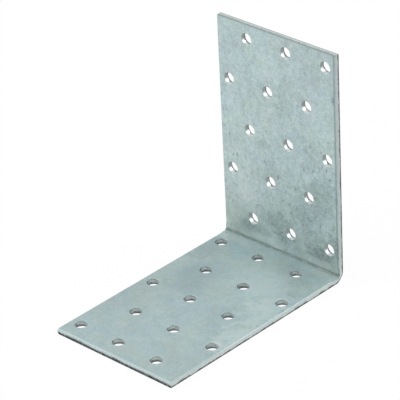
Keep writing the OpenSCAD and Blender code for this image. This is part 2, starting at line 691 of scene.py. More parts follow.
    def hole(self, row: int, left: float, right: float, x: float) -> list[Patch]:
        """One punched hole with the faces round it.

        The outer face starts at the wall's last ring, whose radius is read towards each point of the
        outer border.

        Args:
            row: number of the row.
            left: left limit of the hole's cell.
            right: right limit of the hole's cell.
            x: place of the hole along the fold.

        Returns:
            The inner face, the wall and the outer face.
        """
        centre = np.array([x, self.row_centres()[row]])
        inner = self.cell_border(row, left, right, Side.INNER)
        outer = self.cell_border(row, left, right, Side.OUTER)
        mouth = np.full(len(inner), self.hole_r + self.mouth_in)
        upper = self.cell_face(centre, inner, mouth, self.inner_steps, Side.INNER)
        wall = self.hole_wall(centre, inner)
        ring = wall.points[-len(inner):, :2]
        arm, far_arm = ring - centre, outer - centre
        angle, far_angle = (np.arctan2(each[:, 1], each[:, 0]) for each in (arm, far_arm))
        order = np.argsort(angle)
        opened = np.interp(far_angle, angle[order], np.hypot(*arm.T)[order], period=math.tau)
        lower = self.cell_face(centre, outer, opened, self.outer_steps, Side.OUTER)
        lower.points[:len(ring), :2] = ring
        return [upper, wall, lower]

    def fold(self, side: Side) -> Patch:
        """The strip of one broad side that goes round the fold, between the two legs.

        Args:
            side: the broad side.

        Returns:
            The strip.
        """
        n = np.array([[self.thickness * side.value]])
        s = self.fold_places()
        left = self.edge_points(Edge.LEFT, n, s)[0][0]
        right = self.edge_points(Edge.RIGHT, n, s)[0][0]
        middle = np.stack(np.meshgrid(self.columns(), s), -1)
        grid = np.concatenate([left[:, None], middle, right[:, None]], 1)
        height = np.full(grid.shape[:2] + (1,), self.thickness * side.value)
        points = np.concatenate([grid, height], -1)
        return Patch.from_grid(points, np.zeros(3), closed=False, flipped=side is Side.OUTER)

    def settle(self, points: np.ndarray) -> np.ndarray:
        """Gives the inner side the shallow dip that the punch leaves, and rolled sheet's slight waves.

        A dip's depth falls off as a bell curve from the hole's wall. Both fade to nothing at the outer
        side, which stays flat.

        Args:
            points: x, s and n of each vertex.

        Returns:
            The points with their new n.
        """
        x, s, n = points.T
        centres = self.hole_places()
        away = np.hypot(x[:, None] - centres[:, 0], s[:, None] - centres[:, 1]).min(1)
        dip = self.dip_deep * np.exp(-(((away - self.hole_r) / self.dip_wide) ** 2))
        wave = self.wave_high * self.flat_wave.at(x, s)
        return np.stack([x, s, n - (dip - wave) * n / self.thickness], -1)

    def lay_out(self) -> list[Patch]:
        """Makes all patches of the skin.

        Returns:
            The four cut edges, the fold, and the cells of the holes.
        """
        cells = [(row, *hole) for row in range(self.row_count) for hole in self.row_holes(row)]
        patches = [self.rim(edge) for edge in Edge] + [self.fold(side) for side in Side]
        return patches + [patch for cell in cells for patch in self.hole(*cell)]

    def build(self) -> bpy.types.Object:
        """Builds the whole piece as one closed mesh.

        The patches share their border points, so equal points are welded and the skin is closed. Each
        point keeps its place on the blank, each corner its edge marks, and each face how far the punch
        burnished it.

        Returns:
            The piece.
        """
        patches = self.lay_out()
        sizes = [len(patch.points) for patch in patches]
        firsts = np.cumsum([0] + sizes)
        points = np.concatenate([patch.points for patch in patches])
        marks = np.concatenate([patch.marks for patch in patches])
        punched = np.concatenate([patch.punched for patch in patches])
        quads = np.concatenate([patch.quads + first for patch, first in zip(patches, firsts)])
        grid = (points * WELD_GRID + WELD_OFFSET).round()
        _, keep, weld = np.unique(grid, axis=0, return_index=True, return_inverse=True)
        weld = weld.reshape(-1)
        faces = weld[quads]
        places = points[keep]
        shape = self.carry(self.settle(places))
        on_rim = np.arange(len(points)) < firsts[len(Edge)]
        edged = np.bincount(weld, on_rim) > 0
        shape[edged] = self.press(shape[edged])

        mesh = bpy.data.meshes.new("folded_sheet")
        mesh.vertices.add(len(shape))
        mesh.loops.add(faces.size)
        mesh.polygons.add(len(faces))
        mesh.vertices.foreach_set("co", (shape * MM).astype(np.float32).ravel())
        mesh.loops.foreach_set("vertex_index", faces.astype(np.int32).ravel())
        mesh.polygons.foreach_set("loop_start", np.arange(0, faces.size, 4, dtype=np.int32))
        mesh.update(calc_edges=True)
        for name, kind, domain, part, values in (
            (PLACE, "FLOAT_VECTOR", "POINT", "vector", places),
            (MARKS, "FLOAT_VECTOR", "CORNER", "vector", marks[quads]),
            (PUNCHED, "FLOAT", "FACE", "value", punched),
        ):
            data = mesh.attributes.new(name, kind, domain).data
            data.foreach_set(part, values.astype(np.float32).ravel())
        mesh.polygons.foreach_set("use_smooth", np.ones(len(faces), bool))
        mesh.set_sharp_from_angle(angle=SHARP_ANGLE)
        mesh.validate()
        piece = bpy.data.objects.new("folded_sheet", mesh)
        bpy.context.scene.collection.objects.link(piece)
        return piece

    def dress(self, piece: bpy.types.Object, material: bpy.types.Material) -> None:
        """Gives the piece its finish and its place on the frame.

        Args:
            piece: the folded sheet.
            material: its finish.
        """
        piece.data.materials.append(material)
        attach(piece, "root")
        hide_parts(NODE)


Socket = bpy.types.NodeSocket
Value = float | tuple | Socket
Band = tuple[float, float, float, float]
Pair = tuple[float, float]
Triple = tuple[float, float, float]


class NodePad:
    """Adds nodes to one node tree and links them."""

    def __init__(self, tree: bpy.types.NodeTree) -> None:
        """Starts on an empty tree."""
        self.tree = tree
        tree.nodes.clear()

    def add(self, kind: str, **settings: object) -> bpy.types.Node:
        """Adds a node.

        Args:
            kind: Blender's name for the kind of node.
            settings: the node's own settings, by name.

        Returns:
            The node.
        """
        node = self.tree.nodes.new(kind)
        for name, value in settings.items():
            setattr(node, name, value)
        return node

    def feed(self, socket: Socket, value: Value) -> None:
        """Links a socket to another one, or sets its value.

        Args:
            socket: the socket that is fed.
            value: the other socket, or a plain value.
        """
        if isinstance(value, Socket):
            self.tree.links.new(value, socket)
        else:
            socket.default_value = value

    def math(self, operation: str, first: Value, second: Value = 0.0) -> Socket:
        """The result of one sum on two values.

        Args:
            operation: Blender's name for the sum.
            first: the first value.
            second: the second value, where the sum has one.

        Returns:
            The result.
        """
        node = self.add("ShaderNodeMath", operation=operation)
        self.feed(node.inputs[0], first)
        self.feed(node.inputs[1], second)
        return node.outputs[0]

    def times(self, *values: Value) -> Socket:
        """The product of values."""
        return reduce(lambda first, second: self.math("MULTIPLY", first, second), values)

    def plus(self, *values: Value) -> Socket:
        """The sum of values."""
        return reduce(lambda first, second: self.math("ADD", first, second), values)

    def most(self, *values: Value) -> Socket:
        """The greatest of values."""
        return reduce(lambda first, second: self.math("MAXIMUM", first, second), values)

    def gap(self, first: Value, second: Value) -> Socket:
        """How far two values lie apart."""
        return self.math("ABSOLUTE", self.math("SUBTRACT", first, second))

    def less(self, value: Value) -> Socket:
        """What is left of one after a value."""
        return self.math("SUBTRACT", 1.0, value)

    def band(
        self, value: Value, low: float, high: float, start: Value = 0.0, end: Value = 1.0
    ) -> Socket:
        """A soft step of a value.

        Args:
            value: what is stepped.
            low: where the step starts.
            high: where it ends.
            start: the result below the step.
            end: the result above it.

        Returns:
            The stepped value.
        """
        node = self.add("ShaderNodeMapRange", interpolation_type="SMOOTHSTEP")
        given = {"Value": value, "From Min": low, "From Max": high, "To Min": start, "To Max": end}
        for name, each in given.items():
            self.feed(node.inputs[name], each)
        return node.outputs["Result"]

    def vector(
        self, operation: str, first: Value, second: Value = (0, 0, 0), result: str = "Vector"
    ) -> Socket:
        """The result of one sum on two vectors.

        Args:
            operation: Blender's name for the sum.
            first: the first vector.
            second: the second vector, where the sum has one.
            result: the output that is read.

        Returns:
            The result.
        """
        node = self.add("ShaderNodeVectorMath", operation=operation)
        self.feed(node.inputs[0], first)
        self.feed(node.inputs[1], second)
        return node.outputs[result]

    def split(self, vector: Value) -> tuple[Socket, ...]:
        """The three parts of a vector.

        Args:
            vector: the vector.

        Returns:
            Its X, Y and Z.
        """
        node = self.add("ShaderNodeSeparateXYZ")
        self.feed(node.inputs[0], vector)
        return tuple(node.outputs[name] for name in "XYZ")

    def attribute(self, name: str, result: str = "Vector") -> Socket:
        """What one of the mesh's own attributes says."""
        return self.add("ShaderNodeAttribute", attribute_name=name).outputs[result]

    def blend(self, share: Value, first: Value, second: Value, mode: str = "MIX") -> Socket:
        """One colour laid over another.

        Args:
            share: how much of the second colour shows.
            first: the colour below.
            second: the colour on top.
            mode: the way they mix.

        Returns:
            The mixed colour.
        """
        node = self.add("ShaderNodeMix", data_type="RGBA", blend_type=mode)
        self.feed(node.inputs[0], share)
        self.feed(node.inputs[6], first)
        self.feed(node.inputs[7], second)
        return node.outputs[2]

    def grey(self, value: Value) -> Socket:
        """A value as a grey colour.

        Args:
            value: how light it is.

        Returns:
            The colour.
        """
        node = self.add("ShaderNodeCombineColor")
        for socket in node.inputs[:3]:
            self.feed(socket, value)
        return node.outputs[0]


@dataclass(frozen=True)
class Cloud:
    """Cloudy noise on the blank.

    It has so many clouds in a millimetre, and finer layers of a given strength. The stretch squeezes it
    along the fold, along the blank and through the sheet, where it keeps the two sides apart.
    """

    scale: float
    detail: float = 3.0
    rough: float = 0.6
    stretch: Triple = (1.0, 1.0, 6.0)

    def on(self, pad: NodePad, place: Value) -> Socket:
        """The noise at a place.

        Args:
            pad: the nodes of the material.
            place: the place on the blank.

        Returns:
            A value of about 0.3 to 0.7, with 0.5 at its middle.
        """
        node = pad.add("ShaderNodeTexNoise")
        pad.feed(node.inputs["Vector"], pad.vector("MULTIPLY", place, self.stretch))
        pad.feed(node.inputs["Scale"], self.scale)
        pad.feed(node.inputs["Detail"], self.detail)
        pad.feed(node.inputs["Roughness"], self.rough)
        return node.outputs["Fac"]


@dataclass(frozen=True)
class SoftPatch:
    """A soft patch, used for dirt, painted shade and painted light: its middle and its reach on the
    blank, in mm.
    """

    x: float
    s: float
    reach_x: float
    reach_s: float
    strength: float
    fade: Pair = (0.2, 1.3)

    def on(self, pad: NodePad, place: Value, fray: Value) -> Socket:
        """How strong the patch is at a place.

        The strength falls off with the distance from the middle, measured in reaches. The fray is added
        to that distance, so the outline is uneven.

        Args:
            pad: the nodes of the material.
            place: the place on the blank.
            fray: how far the outline wanders, in reaches.

        Returns:
            The strength.
        """
        arm = pad.vector("SUBTRACT", place, (self.x, self.s, 0))
        squeezed = pad.vector("MULTIPLY", arm, (1 / self.reach_x, 1 / self.reach_s, 0))
        away = pad.vector("LENGTH", squeezed, result="Value")
        return pad.band(pad.plus(away, fray), *self.fade, self.strength, 0.0)


@dataclass(frozen=True)
class ZincFinish:
    """Rolled galvanised steel: cloudy satin zinc, with its cut edges bare, and with painted shade and
    painted light.

    A band says where a soft step starts and ends, and the results below and above it. A pair that ends
    in by_leg is for the flat leg and for the upright leg.
    """

    # Colours of the zinc
    green: tuple = srgb(177, 196, 193)
    blue: tuple = srgb(174, 193, 196)
    cool: tuple = srgb(170, 193, 197)
    lilac: tuple = srgb(179, 193, 197)

    # Colours of dirt, of painted shade and of painted light
    speck: tuple = srgb(112, 128, 126)
    # Greenish dirt and painted shade along the fold
    olive_grime_shade: tuple = srgb(150, 165, 154)
    # Painted shade on the flat leg's left, near the upright
    painted_shade_slate: tuple = srgb(110, 129, 133)
    # Painted shade in the fold's crease, which also dims the fillet's reflection
    crease_shade: tuple = srgb(86, 104, 100)
    # Painted light
    painted_light_tone: tuple = srgb(205, 217, 215)

    # Colours of cut metal, with painted shade in the torn zone and a painted highlight
    # Bare steel of the cut, lightened as a painted highlight on the rolled edges
    burnished: tuple = srgb(206, 217, 216)
    # Painted highlight on the upright's hole walls
    painted_highlight: tuple = srgb(216, 226, 225)
    torn_light: tuple = srgb(184, 196, 195)
    # Torn metal, darkened further by painted shade
    torn_and_shade_dark: tuple = srgb(44, 53, 53)

    # Places on the blank, in mm
    fold_at: float = 97.03
    fold_soft: float = 1.5
    crease_at: float = 97.35
    border_at: float = 29.35
    end_at: float = 194.456
    inner_levels: Pair = (1.25, 2.0)

    # Tint and light and dark clouds
    tint_cloud: Cloud = Cloud(0.09)
    tint_share: Band = (0.4, 0.62, 0.0, 1.0)
    tint_by_leg: Pair = (0.1, 0.0)
    lilac_cloud: Cloud = Cloud(0.14, 2.0, 0.5)
    lilac_starts: Pair = (0.5, 0.66)
    lilac_by_leg: Pair = (0.4, 0.7)
    cloud: Cloud = Cloud(0.11, 3.0, 0.55)
    cloud_shade: Band = (0.3, 0.7, 0.95, 1.05)
    mottle: Cloud = Cloud(0.5)
    mottle_shade: Band = (0.3, 0.7, -0.08, 0.06)
    fine: Cloud = Cloud(1.3)
    fine_shade: Band = (0.3, 0.7, -0.115, 0.095)
    blotch_by_leg: Pair = (0.62, 1.05)
    streak: Cloud = Cloud(1.0, 4.0, 0.65, (0.42, 0.07, 3.0))
    streak_shade: Band = (0.3, 0.7, -0.04, 0.03)
    streak_by_leg: Pair = (0.5, 1.0)
    # Painted light: lighter towards the fold, darker towards the flat leg's free end
    painted_fold_light: Band = (32, 90, 0.91, 1.05)
    end_shade: Band = (178, 190, 1.0, 0.96)

    # Specks
    speck_cloud: Cloud = Cloud(1.0, 2.5, 0.6, (0.75, 0.36, 6.0))
    speck_share: Band = (0.57, 0.7, 0.0, 1.0)
    field_cloud: Cloud = Cloud(0.07, 1.0, 0.5)
    field_share: Band = (0.36, 0.58, 0.2, 1.0)
    speck_fade: Pair = (150, 172)
    speck_by_leg: Pair = (0.05, 0.75)
    speck_least: float = 0.3

    # Greenish dirt and painted shade along the fold
    grime_shade_cloud: Cloud = Cloud(0.16, 4.0)
    grime_shade_share: Band = (0.34, 0.6, 0.25, 1.0)
    grime_shade_fade: Band = (5, 24, 0.5, 0.0)
    base_grime_shade: Band = (-10, 25, 0.3, 0.6)

    # Outline and dust of the patches
    fray_cloud: Cloud = Cloud(0.3, 5.0, 0.7)
    fray_reach: Band = (0.25, 0.75, -0.7, 0.7)
    shade_fray: float = 0.35
    dust_cloud: Cloud = Cloud(0.8, 4.0, 0.65)
    dust_share: Band = (0.38, 0.62, 0.35, 1.2)

    # Painted shade in the fold's crease, and dark lines beside the right side and along the upright's
    # end
    crease_fade: Band = (0.3, 2.0, 0.9, 0.0)
    crease_gaps: Band = (0.3, 0.6, 0.7, 1.0)
    border_fade: Band = (0.1, 0.55, 0.6, 0.0)
    # Level, reach and strength of each line; the first is painted shade on the outer rolled arris
    end_lines: tuple[Triple, ...] = ((0.3, 0.8, 0.6), (2.2, 0.5, 0.5))
    end_starts: Pair = (0.7, 0.2)
    line_core: float = 0.3

    # Cut edges, with painted shade and a painted highlight
    scrape: Cloud = Cloud(1.0, 3.0, 0.6, (2.2, 2.2, 0.25))
    ragged: Band = (0.25, 0.75, -0.35, 0.35)
    torn_share: Band = (0.75, 1.25, 1.0, 0.0)
    torn_starts: Pair = (0.2, 0.6)
    scrape_share: Band = (0.35, 0.65, 0.0, 0.4)
    # Painted shade on the cut just above the torn zone
    low_cut_shade: Band = (0.9, 1.9, 0.75, 0.0)
    dark_share: Band = (0.45, 0.7, 1.0, 0.5)
    cut_starts: Pair = (0.3, 1.0)
    # Painted highlight on the upright's hole walls, by leg
    highlight_by_leg: Pair = (0.0, 0.9)

    # Gloss and relief
    cloud_gloss: Band = (0.3, 0.7, 0.38, 0.46)
    mottle_gloss: Band = (0.3, 0.7, -0.03, 0.04)
    torn_gloss: float = 0.25
    polish_gloss: float = 0.2
    metal: Pair = (0.3, 0.9)
    grain: Cloud = Cloud(2.6)
    grain_high: float = 0.25
    mottle_high: float = 0.75
    torn_high: float = 2.5
    bump_strength: float = 0.25
    bump_distance: float = 0.00012

    # Patches of dirt and painted shade, of painted shade, and of painted light
    # Dusty dark patches: dirt, and near the fold painted shade
    dirt_and_shade_smudges: tuple[SoftPatch, ...] = (
        SoftPatch(-16, 105, 7, 3, 0.5),
        SoftPatch(2, 105, 8, 3.5, 0.65),
        SoftPatch(0, 112, 10, 6, 0.45),
        SoftPatch(17, 113, 8, 5, 0.35),
        SoftPatch(21, 104.5, 9, 4, 0.7),
        SoftPatch(-23, 114.5, 9, 3, 0.1),
        SoftPatch(27.5, 110, 4.5, 7, 0.65),
        SoftPatch(21, 129, 14, 9, 0.4),
        SoftPatch(13, 119, 14, 9, 0.4),
        SoftPatch(4, 133, 6, 6, 0.15),
        SoftPatch(-9, 145, 4, 4, 0.35),
        SoftPatch(28.6, 175, 1.0, 2.2, 0.7),
        SoftPatch(2, 173, 1.2, 1.2, 0.5),
        SoftPatch(17, 182, 5, 9, 0.12),
        SoftPatch(9, 150, 4, 14, 0.2),
        SoftPatch(4, 167, 11, 8, 0.22),
        SoftPatch(-6, 131, 4, 9, 0.25),
        SoftPatch(-16, 125, 6, 9, 0.12),
        SoftPatch(16, 145, 3, 8, 0.25),
        SoftPatch(13, 90, 9, 6, 0.25),
        SoftPatch(20, 82.5, 6, 4.5, 0.4),
        SoftPatch(24, 75.5, 4.5, 4, 0.45),
        SoftPatch(0, 93.5, 14, 3.5, 0.1),
    )
    # Smooth painted shade on the flat leg's left, where the upright casts shade on it
    painted_shades: tuple[SoftPatch, ...] = (
        SoftPatch(-27.5, 87, 5, 6, 0.42),
        SoftPatch(-26, 80, 10, 14, 0.43),
        SoftPatch(-16, 64, 15, 21, 0.33),
        SoftPatch(-27, 40, 8, 24, 0.15),
    )
    # Painted light: lighter patches, mostly near the fold, against the shade that the legs cast on each
    # other
    painted_lights: tuple[SoftPatch, ...] = (
        SoftPatch(9, 74, 16, 12, 0.45),
        SoftPatch(23, 62, 9, 12, 0.6),
        SoftPatch(28, 41, 8, 18, 0.55),
        SoftPatch(-19, 121, 8, 9, 0.45),
        SoftPatch(-21, 93.2, 10, 2.5, 0.4),
        SoftPatch(20, 93.4, 12, 2.2, 0.3),
        SoftPatch(-6, 100.6, 10, 2.0, 0.4),
        SoftPatch(18, 100.4, 9, 1.8, 0.4),
    )

    def make(self) -> bpy.types.Material:
        """Builds the material.

        The clouds, streaks and specks are noise in the sheet's own coordinates, so they run on round the
        fold. The edge marks say how far a point is on a cut edge, and how deep it lies in the cut as a
        share of the torn zone.

        Returns:
            The material.
        """
        material = bpy.data.materials.new("galvanised_zinc")
        material.use_nodes = True
        pad = NodePad(material.node_tree)
        on = SheetNodes(pad, self)
        colour = self.zinc(on)
        colour = pad.blend(self.specks(on), colour, self.speck)
        # Greenish dirt and painted shade darken the sheet along the fold
        colour = pad.blend(self.grime_and_fold_shade(on), colour, self.olive_grime_shade)
        colour = self.patches(on, colour)
        colour = self.fold_lines(on, colour)
        colour = self.cut_edges(on, colour)
        colour = self.end_dark_lines(on, colour)
        shader = pad.add("ShaderNodeBsdfPrincipled")
        pad.feed(shader.inputs["Base Color"], colour)
        pad.feed(shader.inputs["Metallic"], pad.band(on.polish_and_highlight, 0, 1, *self.metal))
        pad.feed(shader.inputs["Roughness"], self.gloss(on))
        pad.feed(shader.inputs["Normal"], self.relief(on))
        pad.feed(pad.add("ShaderNodeOutputMaterial").inputs["Surface"], shader.outputs[0])
        return material

    def zinc(self, on: "SheetNodes") -> Socket:
        """The zinc: three tints, made lighter and darker by clouds, mottle and rolled streaks, and by a
        slope along the blank, which is painted light: lighter towards the fold and darker towards the
        flat leg's free end. It is also darker towards the upright's end.

        Args:
            on: the nodes of the sheet.

        Returns:
            The colour.
        """
        pad = on.pad
        tint = pad.plus(on.noise(self.tint_cloud, self.tint_share), on.by_leg(self.tint_by_leg))
        colour = pad.blend(tint, self.green, pad.blend(on.upright, self.cool, self.blue))
        lilac = self.lilac_cloud.on(pad, on.place)
        lilac = pad.band(lilac, *self.lilac_starts, 0.0, on.by_leg(self.lilac_by_leg))
        colour = pad.blend(lilac, colour, self.lilac)
        blotch = pad.plus(pad.band(on.mottle, *self.mottle_shade), on.noise(self.fine, self.fine_shade))
        blotch = pad.times(blotch, on.by_leg(self.blotch_by_leg))
        streaks = pad.times(on.noise(self.streak, self.streak_shade), on.by_leg(self.streak_by_leg))
        shade = pad.plus(pad.band(on.cloud, *self.cloud_shade), blotch, streaks)
        # The slope along the blank is painted light, lighter towards the fold, and darker at the
        # upright's end
        fall = pad.times(pad.band(on.along, *self.painted_fold_light), pad.band(on.along, *self.end_shade))
        return pad.blend(1.0, colour, pad.grey(pad.times(shade, fall)), "MULTIPLY")

    def specks(self, on: "SheetNodes") -> Socket:
        """How strong the small dark specks are: they lie in fields, fewer near the upright's end.

        Args:
            on: the nodes of the sheet.

        Returns:
            The strength.
        """
        pad = on.pad
        fields = on.noise(self.field_cloud, self.field_share)
        most = pad.band(on.along, *self.speck_fade, on.by_leg(self.speck_by_leg), self.speck_least)
        return pad.times(on.noise(self.speck_cloud, self.speck_share), fields, most)

    def grime_and_fold_shade(self, on: "SheetNodes") -> Socket:
        """How strong the greenish dirt and painted shade are: they fade away from the fold and to the
        flat leg's left.

        Args:
            on: the nodes of the sheet.

        Returns:
            The strength.
        """
        pad = on.pad
        grime_and_fold_shade = pad.times(
            pad.band(pad.gap(on.along, self.fold_at), *self.grime_shade_fade),
            on.noise(self.grime_shade_cloud, self.grime_shade_share),
        )
        leg = pad.band(on.upright, 0, 1, pad.band(on.across, *self.base_grime_shade), 1.0)
        return pad.times(grime_and_fold_shade, pad.times(on.inner, leg))

    def patches(self, on: "SheetNodes", colour: Value) -> Socket:
        """The dusty patches of dirt and painted shade, the smooth painted shade and the painted light of
        the inner side.

        Args:
            on: the nodes of the sheet.
            colour: the colour below.

        Returns:
            The colour with the patches.
        """
        pad = on.pad
        fray = on.noise(self.fray_cloud, self.fray_reach)
        dust = on.noise(self.dust_cloud, self.dust_share)
        # Dirt and painted shade, then painted shade, then painted light
        for patches, outline, strength, tone in (
            (self.dirt_and_shade_smudges, fray, (on.inner, dust), self.speck),
            (self.painted_shades, pad.times(fray, self.shade_fray), (on.inner,), self.painted_shade_slate),
            (self.painted_lights, fray, (on.inner,), self.painted_light_tone),
        ):
            level = pad.most(0.0, *(patch.on(pad, on.place, outline) for patch in patches))
            colour = pad.blend(pad.times(level, *strength), colour, tone)
        return colour

    def fold_lines(self, on: "SheetNodes", colour: Value) -> Socket:
        """The painted shade in the fold's crease, and the dark line beside the upright's right side.

        Args:
            on: the nodes of the sheet.
            colour: the colour below.

        Returns:
            The colour with the lines.
        """
        pad = on.pad
        # Painted shade along the crease, which also dims the fillet's reflection
        crease = pad.band(pad.gap(on.along, self.crease_at), *self.crease_fade)
        crease = pad.times(crease, pad.band(on.mottle, *self.crease_gaps), on.inner)
        border = pad.band(pad.gap(on.across, self.border_at), *self.border_fade)
        border = pad.times(border, pad.times(on.inner, on.upright))
        return pad.blend(border, pad.blend(crease, colour, self.crease_shade), self.speck)

    def cut_edges(self, on: "SheetNodes", colour: Value) -> Socket:
        """The bare metal of the cut edges and of the hole walls, with its dark torn zone. How dark the
        torn zone and the cut just above it are is partly painted shade, set for each edge.

        Args:
            on: the nodes of the sheet.
            colour: the colour of the broad sides.

        Returns:
            The colour with the cut edges.
        """
        pad = on.pad
        # The cut's bare steel, partly a painted highlight on the rolled edges
        bare = pad.blend(pad.band(on.scrape, *self.scrape_share), self.burnished, self.torn_light)
        # Painted shade on the cut just above the torn zone, by edge
        low_shade = pad.times(on.stain_and_shade, on.stain_and_shade, pad.band(on.depth, *self.low_cut_shade))
        bare = pad.blend(low_shade, bare, self.torn_and_shade_dark)
        dark = pad.times(on.stain_and_shade, pad.band(on.scrape, *self.dark_share))
        broken = pad.blend(dark, self.torn_light, self.torn_and_shade_dark)
        bare = pad.blend(on.torn, bare, broken)
        colour = pad.blend(pad.band(on.cut, *self.cut_starts), colour, bare)
        # Painted highlight on the upright's hole walls, where the punch burnished them
        return pad.blend(pad.times(on.polish_and_highlight, on.by_leg(self.highlight_by_leg)), colour, self.painted_highlight)

    def end_dark_lines(self, on: "SheetNodes", colour: Value) -> Socket:
        """Two thin dark lines along the upright's end: painted shade on its outer rolled arris, and a
        line in the torn zone near the inner side.

        Args:
            on: the nodes of the sheet.
            colour: the colour below.

        Returns:
            The colour with the lines.
        """
        pad = on.pad
        start, full = self.end_starts
        end = pad.band(on.along, self.end_at - start, self.end_at - full)
        for level, reach, strength in self.end_lines:
            line = pad.band(pad.gap(on.through, level), self.line_core * reach, reach, strength, 0.0)
            colour = pad.blend(pad.times(end, line), colour, self.speck)
        return colour

    def gloss(self, on: "SheetNodes") -> Socket:
        """The roughness: satin zinc, duller where it is torn and glossier where the punch burnished it.

        Args:
            on: the nodes of the sheet.

        Returns:
            The roughness.
        """
        pad = on.pad
        satin = pad.plus(pad.band(on.cloud, *self.cloud_gloss), pad.band(on.mottle, *self.mottle_gloss))
        satin = pad.plus(satin, pad.times(on.torn, self.torn_gloss))
        return pad.math("SUBTRACT", satin, pad.times(on.polish_and_highlight, self.polish_gloss))

    def relief(self, on: "SheetNodes") -> Socket:
        """The fine relief: the zinc's grain and mottle, and the scrapes of the torn zone.

        Args:
            on: the nodes of the sheet.

        Returns:
            The bumped normal.
        """
        pad = on.pad
        grain = pad.times(self.grain.on(pad, on.place), self.grain_high)
        scrapes = pad.times(on.scrape, on.torn, self.torn_high)
        bump = pad.add("ShaderNodeBump")
        pad.feed(bump.inputs["Strength"], self.bump_strength)
        pad.feed(bump.inputs["Distance"], self.bump_distance)
        height = pad.plus(grain, pad.times(on.mottle, self.mottle_high), scrapes)
        pad.feed(bump.inputs["Height"], height)
        return bump.outputs[0]


class SheetNodes:
    """The nodes that say where a point of the sheet lies, and what the layers of its finish share."""

    def __init__(self, pad: NodePad, finish: ZincFinish) -> None:
        """Reads the sheet's own coordinates and marks.

        The torn zone's limit wanders with the scrapes. The burnish mark is where the punch burnished a
        wall that isn't torn: it sets the wall's metal and gloss, and on the upright a painted highlight.

        Args:
            pad: the nodes of the material.
            finish: the finish that is built.
        """
        self.pad = pad
        self.place = pad.attribute(PLACE)
        self.across, self.along, self.through = pad.split(self.place)
        self.cut, self.depth, self.stain_and_shade = pad.split(pad.attribute(MARKS))
        self.upright = pad.band(
            self.along, finish.fold_at - finish.fold_soft, finish.fold_at + finish.fold_soft
        )
        self.inner = pad.band(self.through, *finish.inner_levels)
        self.cloud = finish.cloud.on(pad, self.place)
        self.mottle = finish.mottle.on(pad, self.place)
        self.scrape = finish.scrape.on(pad, self.place)
        ragged = pad.plus(self.depth, pad.band(self.scrape, *finish.ragged))
        on_cut = pad.band(self.cut, *finish.torn_starts)
        self.torn = pad.times(pad.band(ragged, *finish.torn_share), on_cut)
        self.polish_and_highlight = pad.times(pad.attribute(PUNCHED, "Fac"), self.cut, pad.less(self.torn))

    def noise(self, cloud: Cloud, band: Band) -> Socket:
        """Cloudy noise at this place, stepped by a band."""
        return self.pad.band(cloud.on(self.pad, self.place), *band)

    def by_leg(self, pair: Pair) -> Socket:
        """A value that is the pair's first on the flat leg and its second on the upright leg."""
        return self.pad.band(self.upright, 0, 1, *pair)


@dataclass(frozen=True)
class SoftBox:
    """A soft area lamp that looks at the bracket."""

    name: str
    place: Triple
    size: float
    power: float
    colour: Triple = (1.0, 1.0, 1.0)

    def light(self, aim: Vector) -> None:
        """Makes the lamp and turns it to the aim.

        Args:
            aim: the point that it looks at, in metres.
        """
        lamp = bpy.data.lights.new(self.name, "AREA")
        lamp.shape = "SQUARE"
        lamp.size = self.size
        lamp.energy = self.power
        lamp.color = self.colour
        holder = bpy.data.objects.new(self.name, lamp)
        holder.location = self.place
        holder.rotation_mode = "QUATERNION"
        holder.rotation_quaternion = (aim - holder.location).to_track_quat("-Z", "Y")
        bpy.context.scene.collection.objects.link(holder)


